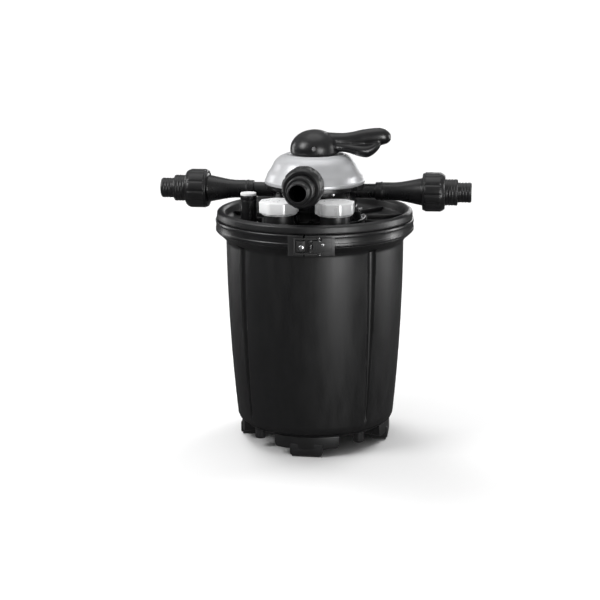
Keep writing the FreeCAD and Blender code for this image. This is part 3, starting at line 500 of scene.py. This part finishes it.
def lid():
    low = limits("lid")[0]
    high = limits("lid_rim")[1]
    neck_top = limits("cap_necks")[1].z
    rim, well, floor = high.z, 171.5, 429.0
    outline = rounded([
        (22.5, 423, 0.5), (159.5, 423, 1), (159.5, low.z, 1), (165.5, low.z, 1),
        (165.5, 424.5, 0.5), (186, 424.5, 0.5), (186, 431, 0.5), (181, 431, 0.5),
        (181, 437, 0.5), (high.x - 0.8, 437, 1.2), (high.x, 440, 3),
        (high.x - 0.8, rim - 3, 6), (high.x - 5, rim, 5), (well + 5.5, rim, 5),
        (well + 1, rim - 4, 5), (well - 1, floor + 5, 4), (well - 8, floor, 7),
        (22.5, floor, 0.5)], 1.0, 6)
    builders = [revolve(outline, spread(256))]
    for step in range(12):
        rib = bmesh.new()
        bevel_box(rib, (-1.5, -well + 0.5, floor - 1), (1.5, -102, floor + 8), 0.7,
                  around_z(15 + 30 * step), 2)
        builders.append(rib)
    for side in (-1, 1):
        neck = rounded([(21, 424, 0), (NECK_RADIUS, 424, 0), (NECK_RADIUS, floor + 3, 0),
                        (NECK_RADIUS + 3, floor + 4, 1), (NECK_RADIUS + 3, floor + 9, 1),
                        (NECK_RADIUS, floor + 11, 1), (NECK_RADIUS, neck_top, 1),
                        (21, neck_top, 1)], 1.0)
        place = Matrix.Translation((side * CAP_X, -CAP_Y, 0))
        builders.append(revolve(neck, spread(72), aim=place))
    finish_mesh("lid_shell", merge(builders), "tank_plastic", "filter",
                ["lid", "lid_rim", "cap_necks"])


def clamp_band():
    low, high = limits("clamp_band")
    outer = high.x
    outline = rounded([
        (186.5, low.z + 3.6, 0.3), (182, low.z + 3.6, 0.3), (182, low.z, 0.8),
        (outer - 1.2, low.z, 1.2), (outer, low.z + 1.6, 1.4), (outer, low.z + 6.2, 0.4),
        (outer - 0.9, low.z + 7.4, 0.6), (outer - 0.9, high.z - 6.4, 0.6),
        (outer, high.z - 5.2, 0.6), (outer, high.z - 1.6, 1.4), (outer - 1.2, high.z, 1.2),
        (182, high.z, 0.8), (182, high.z - 3.5, 0.3), (186.5, high.z - 3.5, 0.3)], 0.5, 3)
    gap_middle = math.radians(LATCH_TURN) - 13.0 / outer
    half_gap = 2.0 / outer
    angles = spread(257, gap_middle + half_gap, gap_middle + TAU - half_gap)
    ring = revolve(outline, angles, open_ends=True)
    finish_mesh("band_ring", ring, "band", "filter", ["clamp_band"])


# --- latch, drawn in a frame turned a little from the front --------------------------------
LATCH = around_z(LATCH_TURN)


def latch_plate(low_x, high_x, inner, outer, low_z, high_z, edge):
    """A plate that follows a circle about the tank's axis, between limits of x."""
    section = rounded([(inner, low_z), (outer, low_z), (outer, high_z), (inner, high_z)],
                      edge, 3)
    angles = spread(25, math.asin(low_x / outer), math.asin(high_x / outer))
    return revolve(section, angles, open_ends=True, aim=LATCH)


def block(low, high, edge, matrix=LATCH, steps=3):
    builder = bmesh.new()
    bevel_box(builder, low, high, edge, matrix, steps)
    return builder


def pillar(radius, low_z, high_z, x, y):
    """An upright cylinder with rounded ends, placed in the latch's frame."""
    outline = rounded([(0, low_z, 0), (radius, low_z), (radius, high_z), (0, high_z, 0)],
                      0.5, 3)
    return revolve(outline, spread(36), aim=LATCH @ Matrix.Translation((x, y, 0)))


def toward_front(x, y, z):
    """A matrix that lays a piece made along +Z along -Y instead, at a point."""
    return LATCH @ Matrix.Translation((x, y, z)) @ Matrix.Rotation(math.pi / 2, 4, "X")


def latch():
    bottom, top = 399.0, 436.0
    ears = [(408.0, 411.0), (425.0, 428.0)]
    arms = [(403.0, 406.0), (430.0, 433.0)]
    bracket = [latch_plate(-11, 42, 190.15, 193, bottom, top, 0.9)]
    bracket += [block((-4, -201.4, low), (4, -190.6, high), 0.7) for low, high in ears]
    finish_mesh("latch_base", merge(bracket), "latch", "filter", ["latch_bracket"])
    strike = [latch_plate(-42, -15, 190.15, 193, bottom, top, 0.9),
              block((-27, -198, 408), (-11, -191.4, 428), 1.6)]
    finish_mesh("latch_keeper", merge(strike), "latch", "filter", ["latch_strike"])
    dome = [(0, 0, 0), (5, 0, 0), (5, 1.0, 0.6), (4.3, 2.3, 1.4), (2.0, 3.0, 1.0), (0, 3.0, 0)]
    shank = [(0, -5.9, 0), (2.4, -5.9, 0.3), (2.4, 0.2, 0), (0, 0.2, 0)]
    screw = [revolve(rounded(dome, 0.5, 4), spread(48), aim=toward_front(-17.4, -198, 416)),
             revolve(rounded(shank, 0.3), spread(24), aim=toward_front(-17.4, -198, 416))]
    finish_mesh("keeper_screw", merge(screw), "steel", "filter", ["strike_screw"])
    lever = [latch_plate(19.8, 42, 202, 205.5, 402, 434, 1.3),
             latch_plate(4, 21.5, 202, 205.5, 407, 429, 1.3),
             latch_plate(9, 36, 205.2, 206.2, 410, 426, 0.45),
             latch_plate(37.5, 41.6, 205.2, 206.4, 404, 432, 0.55)]
    for low, high in ((411.5, 414.3), (421.7, 424.5)):
        lever.append(block((0, -203, low), (18, -195.1, high), 0.6))
        lever.append(pillar(3.9, low, high, 0, -197))
    finish_mesh("latch_handle", merge(lever), "latch", "latch_lever", ["latch_lever"])
    rivet = rounded([(0, -4, 0), (2, -4, 0.3), (2, 3.4, 0), (3.2, 3.4, 0.3), (2.6, 4.6, 0.8),
                     (0, 4.9, 0)], 0.3, 3)
    finish_mesh("handle_rivet", revolve(rivet, spread(32), aim=toward_front(21, -201.4, 422)),
                "steel", "latch_lever", ["lever_rivet"])
    link = []
    for low, high in arms:
        link.append(block((-31.5, -199.1, low), (14, -196.3, high), 0.7))
        link.append(pillar(3.6, low, high, 14, -197.5))
    link.append(block((-31.5, -199.1, 403.5), (-28.5, -196.3, 432.5), 0.7))
    finish_mesh("latch_bail", merge(link), "latch", "latch_link", ["latch_link"])


# --- valve head ----------------------------------------------------------------------------
SIDE_Z = 488.0
FRONT_Z = 519.0
FRONT_BACK = 60.0    # how much closer to the axis the front union sits than the side ones


def port_aim(side):
    """Lays a piece made along +Z, measured from the tank's axis, on a port's axis."""
    if side == "front":
        return (Matrix.Translation((0, FRONT_BACK, FRONT_Z))
                @ Matrix.Rotation(math.pi / 2, 4, "X"))
    quarter = math.pi / 2 if side == "right" else -math.pi / 2
    return Matrix.Translation((0, 0, SIDE_Z)) @ Matrix.Rotation(quarter, 4, "Y")


def port_pipe(side):
    """The pipe of one port, from the head to its threaded end, with its bore."""
    if side == "front":
        start = [(19.5, 122, 0), (19.5, 160, 8)]
    else:
        start = [(13.7, 75, 0), (13.7, 116, 1), (17, 117, 1), (17, 126, 0.4), (17.9, 126.6, 0.4),
                 (17.9, 130, 0.4), (17, 130.6, 0.4), (17, 160, 14)]
    threads = []
    for turn in range(6):
        low = 209.0 + 3.6 * turn
        threads += [(29.6, low, 0.3), (31, low + 0.9, 0.4), (31, low + 1.8, 0.4),
                    (29.6, low + 2.7, 0.3)]
    outline = rounded(start + [(26, 205.4, 2), (30, 206.4, 0.6)] + threads + [
        (30, 232, 0.8), (19, 232, 0.6), (19, 210, 2), (12.5, 160, 8), (10.5, 118, 4),
        (10.5, start[0][1], 0)], 1.0, 3)
    return revolve(outline, spread(96), aim=port_aim(side))


def valve_body():
    floor, flange, lip = limits("valve_body")[0].z, 98.0, 502.0
    outline = rounded([
        (22.3, floor, 0.4), (flange, floor, 0.8), (flange, 438, 2), (84, 438, 3),
        (80, 444, 4), (80, 455, 0), (80.9, 456, 0.4), (80.9, 459, 0.4), (80, 460, 0),
        (80, 494, 1.5), (93, 494, 1.2), (93, lip, 0.6), (80.7, lip, 0.2), (80.7, 498.9, 0.2),
        (77.3, 498.9, 0.2), (77.3, lip, 0.2), (73, lip, 0.6), (73, 462, 2), (22.3, 462, 0.6)],
        1.0, 4)
    core = revolve(outline, spread(192))
    duct = bmesh.new()
    bevel_box(duct, (-15, -79, 492), (15, -63, FRONT_Z), 1.0)
    parts = [core, duct] + [port_pipe(side) for side in ("left", "right", "front")]
    for step in range(12):
        rib = bmesh.new()
        turn = 15 + 30 * step
        bevel_box(rib, (-1.4, -93, 437), (1.4, -79, 452), 0.6, around_z(turn), 2)
        parts.append(rib)
    finish_mesh("head_body", merge(parts), "head_plastic", "filter", ["valve_body"])


def valve_cover():
    rim, top, outer = limits("valve_cover")[0].z, 556.0, 95.5
    outline = rounded([
        (76, rim, 0.4), (outer - 1.2, rim, 1), (outer, rim + 1.6, 1), (outer, rim + 6.4, 1),
        (outer - 1.4, rim + 7.6, 1), (outer - 5.8, rim + 20, 12), (83, 531, 12),
        (75.5, 545.5, 7), (67, 553, 7), (60, top - 0.2, 3), (57.4, top, 0.6),
        (56, top + 1.6, 0.7), (49, top + 1.6, 0.7), (47.6, top, 0.6), (12.5, top, 1),
        (12.5, 551, 1), (56, 551, 5), (65, 542, 8), (76, 524, 6)], 1.0, 5)
    shell = revolve(outline, spread(224))
    notch = rounded([(0, 50, 0), (19.8, 50, 0), (19.8, 110, 0), (0, 110, 0)], 0)
    pipe_cut = revolve(notch, spread(96), aim=Matrix.Translation((0, 0, FRONT_Z))
                       @ Matrix.Rotation(math.pi / 2, 4, "X"))
    slot_cut = block((-19.8, -110, rim - 5), (19.8, -50, FRONT_Z), 0.01, Matrix(), 1)
    shell = carve(shell, [pipe_cut, slot_cut])
    finish_mesh("head_cover", shell, "cover_plastic", "filter", ["valve_cover"])


# --- unions, hose tails and caps -----------------------------------------------------------
def union(side):
    aim = port_aim(side)
    start, end, radius = 206.0, 248.0, 37.0
    grip = 12

    def fluted(angle, reach, height):
        """Shallow scallops round the nut's middle band."""
        if reach < radius - 0.5:
            return reach
        wave = 0.5 + 0.5 * math.cos(grip * angle)
        return reach - 1.5 * wave ** 6

    outline = rounded([
        (31.5, start, 0.6), (33.6, start, 0.8), (35.4, start + 1.6, 1), (35.4, start + 4, 0.5),
        (radius, start + 5.5, 0.8), (radius, end - 12, 0.5), (radius, end - 8.5, 1.2),
        (34.6, end - 3, 2), (31.8, end, 1.4), (25.4, end, 0.6), (25.4, 240, 0.4),
        (31.5, 240, 0.4)], 1.0, 4)
    finish_mesh(side + "_nut", revolve(outline, spread(240), fluted, aim), "nut_plastic",
                side + "_nut", [side + "_union_nut"])
    ridges = []
    for turn in range(3):
        ridges += [(25, 252 + 5.2 * turn, 0.3), (24.55, 253 + 5.2 * turn, 0.3),
                   (24.55, 255 + 5.2 * turn, 0.3), (25, 256 + 5.2 * turn, 0.3)]
    small = []
    for turn in range(3):
        small += [(19, 277 + 5.4 * turn, 0.3), (18.5, 278 + 5.4 * turn, 0.3),
                  (18.5, 280 + 5.4 * turn, 0.3), (19, 281 + 5.4 * turn, 0.3)]
    tail = rounded([(15, 234, 0.4), (30.7, 234, 0.4), (30.7, 239.6, 0.6), (25, 239.6, 0.4)]
                   + ridges + [(25, 271, 1.6), (22.5, 272.3, 1.2), (19, 272.3, 0.8)] + small
                   + [(19, 296, 1.2), (17, 298, 1.2), (15, 298, 1.0)], 0.6, 3)
    finish_mesh(side + "_tail", revolve(tail, spread(96), aim=aim), "nut_plastic",
                side + "_tail", [side + "_hose_tail"])


def service_cap(side, x):
    low, high = limits(side + "_cap")
    flat, collar, top = 35.0, 32.0, high.z - 0.4

    def eight_sided(angle, reach, height):
        """A soft octagon where the cap is widest, round above and below."""
        if reach < 26 or height < low.z + 2:
            return reach
        off = (angle + math.pi / 8) % (math.pi / 4) - math.pi / 8
        corner = min(1.0 / math.cos(off), 1.057)
        share = min(1.0, (reach - 26) / (flat - 28))
        return reach * (1 + share * (corner - 1))

    outline = rounded([
        (0, top - 0.8, 0), (25, top - 0.8, 0.8), (26.4, top, 0.8),
        (flat, top, 1.6), (flat, low.z + 3.6, 1.2), (collar, low.z + 2, 0.8),
        (collar, low.z, 0.6), (27.5, low.z, 0.4), (27.5, high.z - 9, 0.6),
        (0, high.z - 9, 0)], 1.0, 4)
    cap = revolve(outline, spread(192), eight_sided, Matrix.Translation((x, -CAP_Y, 0)))
    finish_mesh(side + "_screw_cap", cap, "cap_plastic", side + "_cap", [side + "_cap"])


def indicator():
    low, high = limits("indicator_housing")
    centre = Matrix.Translation((-119.0, -55.0, 0))
    roof, bore, radius = high.z, 11.0, 15.3
    outline = rounded([
        (bore, low.z, 0.4), (radius + 3, low.z, 0.5), (radius + 3, low.z + 4, 1.4),
        (radius, low.z + 6, 2), (radius, roof - 9, 0.3), (radius - 0.8, roof - 8.4, 0.3),
        (radius - 0.8, roof - 7, 0.3), (radius, roof - 6.4, 0.3), (radius, roof, 1.2),
        (4.1, roof, 0.4), (4.1, roof - 5, 0.4), (bore, roof - 5, 0.5)], 0.8, 4)
    finish_mesh("indicator_post", revolve(outline, spread(96), aim=centre), "head_plastic",
                "filter", ["indicator_housing"])
    button_low, button_high = limits("indicator_button")
    top = button_high.z
    cap = rounded([
        (0, top - 0.8, 0), (10.2, top - 0.8, 0.8), (11.4, top, 0.8), (15, top, 1.4),
        (15, roof + 0.6, 1.0), (4, roof + 0.6, 0.6), (4, button_low.z + 5, 0.4),
        (10.6, button_low.z + 5, 0.5), (10.6, button_low.z + 3.8, 0.3),
        (9, button_low.z + 3.8, 0.3), (9, button_low.z + 1.2, 0.3),
        (10.6, button_low.z + 1.2, 0.3), (10.6, button_low.z, 0.4), (0, button_low.z, 0)],
        0.6, 4)
    finish_mesh("indicator_disc", revolve(cap, spread(96), aim=centre), "button_plastic",
                "indicator_button", ["indicator_button"])


# --- handle --------------------------------------------------------------------------------
HANDLE_TURN = 6.0
PIVOT_Z = 572.0


def tube(stations, count=40):
    """A closed body through upright ellipses at (along, height, half width, half rise)."""
    builder = bmesh.new()
    rings = []
    for along, height, width, rise in stations:
        rings.append([builder.verts.new((along, width * math.cos(angle),
                                         height + rise * math.sin(angle)))
                      for angle in spread(count)])
    for first, second in zip(rings, rings[1:]):
        for step in range(count):
            after = (step + 1) % count
            builder.faces.new((first[step], first[after], second[after], second[step]))
    builder.faces.new(rings[0])
    builder.faces.new(rings[-1])
    return builder


def smooth_stations(stations, steps=7):
    """Fill in between stations along a Catmull-Rom curve."""
    points = [stations[0]] + list(stations) + [stations[-1]]
    result = []
    for index in range(1, len(points) - 2):
        for step in range(steps):
            t = step / steps
            before, here, after, beyond = points[index - 1:index + 3]
            result.append(tuple(
                0.5 * (2 * b + (c - a) * t + (2 * a - 5 * b + 4 * c - d) * t ** 2
                       + (3 * b - a - 3 * c + d) * t ** 3)
                for a, b, c, d in zip(before, here, after, beyond)))
    result.append(stations[-1])
    return result


def handle():
    hub_low = 558.3
    dome = [(0, hub_low)]
    for step in range(29):
        angle = math.radians(-14 + 104 * step / 28)
        dome.append((46.3 * math.cos(angle) if step < 28 else 0, 567 + 36.6 * math.sin(angle)))
    hub = revolve(dome, spread(96))
    spine = tube(smooth_stations([(12, 583, 20.5, 16.5), (56, 582.5, 15.5, 14.5),
                                  (94, 588, 15.5, 16), (122.5, 590, 15, 16.5),
                                  (135.5, 589.5, 12.5, 13.5), (142.5, 589, 7.5, 8),
                                  (144.5, 589, 5, 4.5)]))
    palm = tube(smooth_stations([(24, 573, 26.5, 13.5), (56, 571, 20.5, 10),
                                 (84, 566, 26.5, 13), (101, 565, 24.5, 14),
                                 (115, 571.5, 19.5, 12.5), (124, 579, 13.5, 9.5)]))
    item = as_object(merge([hub, spine, palm]))
    blend = item.modifiers.new("blend", "REMESH")
    blend.mode = "VOXEL"
    blend.voxel_size = 1.6
    soften = item.modifiers.new("soften", "SMOOTH")
    soften.factor = 0.5
    soften.iterations = 9
    solid = evaluated(item)
    slot = block((-12, -8.4, hub_low - 6), (12, 8.4, 588), 0.8, Matrix(), 2)
    bore = revolve(rounded([(0, -50, 0), (4.1, -50, 0), (4.1, 50, 0), (0, 50, 0)], 0),
                   spread(40), aim=Matrix.Translation((0, 0, PIVOT_Z))
                   @ Matrix.Rotation(math.pi / 2, 4, "X"))
    solid = carve(solid, [slot, bore])
    bmesh.ops.transform(solid, matrix=around_z(HANDLE_TURN), verts=solid.verts)
    finish_mesh("press_handle", solid, "handle_plastic", "handle", ["handle"])


tank()
foot_pads()
lid()
clamp_band()
latch()
valve_body()
valve_cover()
for port in ("left", "right", "front"):
    union(port)
service_cap("left", -CAP_X)
service_cap("right", CAP_X)
indicator()
handle()


# --- studio --------------------------------------------------------------------------------
def backdrop():
    """A far, plain white wall all round, seen only by the camera."""
    builder = bmesh.new()
    bmesh.ops.create_cone(builder, segments=64, radius1=30.0, radius2=30.0, depth=44.0)
    mesh = bpy.data.meshes.new("backdrop")
    builder.to_mesh(mesh)
    builder.free()
    wall = bpy.data.objects.new("backdrop", mesh)
    bpy.context.scene.collection.objects.link(wall)
    material, _, _, shader, _ = node_tools("backdrop")
    shader.inputs["Base Color"].default_value = (0, 0, 0, 1)
    shader.inputs["Specular IOR Level"].default_value = 0.0
    shader.inputs["Emission Color"].default_value = (1, 1, 1, 1)
    shader.inputs["Emission Strength"].default_value = 1.1
    mesh.materials.append(material)
    wall.visible_diffuse = False
    wall.visible_glossy = False
    wall.visible_shadow = False


def studio():
    """A very large pale floor under a sky that brightens upwards, with plain colours."""
    floor_mesh = bpy.data.meshes.new("floor")
    builder = bmesh.new()
    bmesh.ops.create_grid(builder, x_segments=1, y_segments=1, size=120.0)
    builder.to_mesh(floor_mesh)
    builder.free()
    floor = bpy.data.objects.new("floor", floor_mesh)
    bpy.context.scene.collection.objects.link(floor)
    material, _, _, shader, _ = node_tools("floor")
    shader.inputs["Base Color"].default_value = (0.87, 0.87, 0.87, 1)
    shader.inputs["Roughness"].default_value = 1.0
    shader.inputs["Specular IOR Level"].default_value = 0.0
    floor_mesh.materials.append(material)
    floor.visible_glossy = False
    backdrop()

    world = bpy.data.worlds.new("studio")
    world.use_nodes = True
    nodes, links = world.node_tree.nodes, world.node_tree.links
    direction = nodes.new("ShaderNodeTexCoord").outputs["Generated"]
    height = nodes.new("ShaderNodeSeparateXYZ")
    links.new(direction, height.inputs["Vector"])
    links.new(remap(nodes, links, height.outputs["Z"], 0.10, 0.48, 0.05, 0.75),
              nodes["Background"].inputs["Strength"])
    nodes["Background"].inputs["Color"].default_value = (1, 1, 1, 1)
    bpy.context.scene.world = world
    bpy.context.scene.view_settings.view_transform = "Standard"


def lamp_toward(name, kind, at, aim_at, power):
    """A lamp at one place that points at another."""
    lamp = bpy.data.objects.new(name, bpy.data.lights.new(name, kind))
    lamp.data.energy = power
    lamp.location = at
    lamp.rotation_euler = (Vector(aim_at) - Vector(at)).to_track_quat("-Z", "Y").to_euler()
    bpy.context.scene.collection.objects.link(lamp)
    return lamp


def softbox(name, at, aim_at, size, power, sheen_only=True):
    """A large rectangular lamp; sheen_only keeps its light off matt surfaces."""
    lamp = lamp_toward(name, "AREA", at, aim_at, power)
    lamp.data.shape = "RECTANGLE"
    lamp.data.size, lamp.data.size_y = size
    lamp.visible_diffuse = not sheen_only


def lights():
    overhead = lamp_toward("overhead", "SUN", (-0.1, 0.35, 3), (0, 0, 0), 0.62)
    overhead.data.angle = math.radians(50)
    for side in (-1, 1):
        slanting = lamp_toward("slanting", "SUN", (1.5 * side, 1.6, 2.4), (0, 0, 0), 1.3)
        slanting.data.angle = math.radians(34)
        slanting.visible_glossy = False
    softbox("front_right", (1.05, -1.5, 0.5), (0, 0, 0.15), (0.6, 1.0), 22)
    softbox("front_left", (-1.4, -0.9, 1.5), (0, 0, 0.5), (0.8, 1.0), 21, False)
    softbox("left_edge", (-1.7, 0.75, 0.6), (0, 0, 0.25), (0.35, 1.1), 7)
    softbox("right_edge", (1.9, 0.5, 0.6), (0, 0, 0.25), (0.55, 1.1), 20)
    softbox("back", (0.5, 2.0, 0.9), (0, 0, 0.3), (0.8, 1.0), 8)


def camera():
    """The camera stands 2.5 m in front of the filter, a little to its right, looking down."""
    azimuth, pitch = math.radians(7.28), math.radians(13.93)
    distance, height = 2.496, 0.8903
    lens = bpy.data.cameras.new("camera")
    lens.sensor_width = 36
    lens.lens = 79.06
    lens.shift_x = -0.0252
    holder = bpy.data.objects.new("camera", lens)
    holder.location = (distance * math.sin(azimuth), -distance * math.cos(azimuth), height)
    upright = Matrix.Rotation(azimuth, 4, "Z") @ Matrix.Rotation(math.pi / 2 - pitch, 4, "X")
    roll = Matrix.Rotation(math.radians(-0.2), 4, "Z")
    holder.rotation_euler = (upright @ roll).to_euler()
    bpy.context.scene.collection.objects.link(holder)
    bpy.context.scene.camera = holder


studio()
lights()
camera()
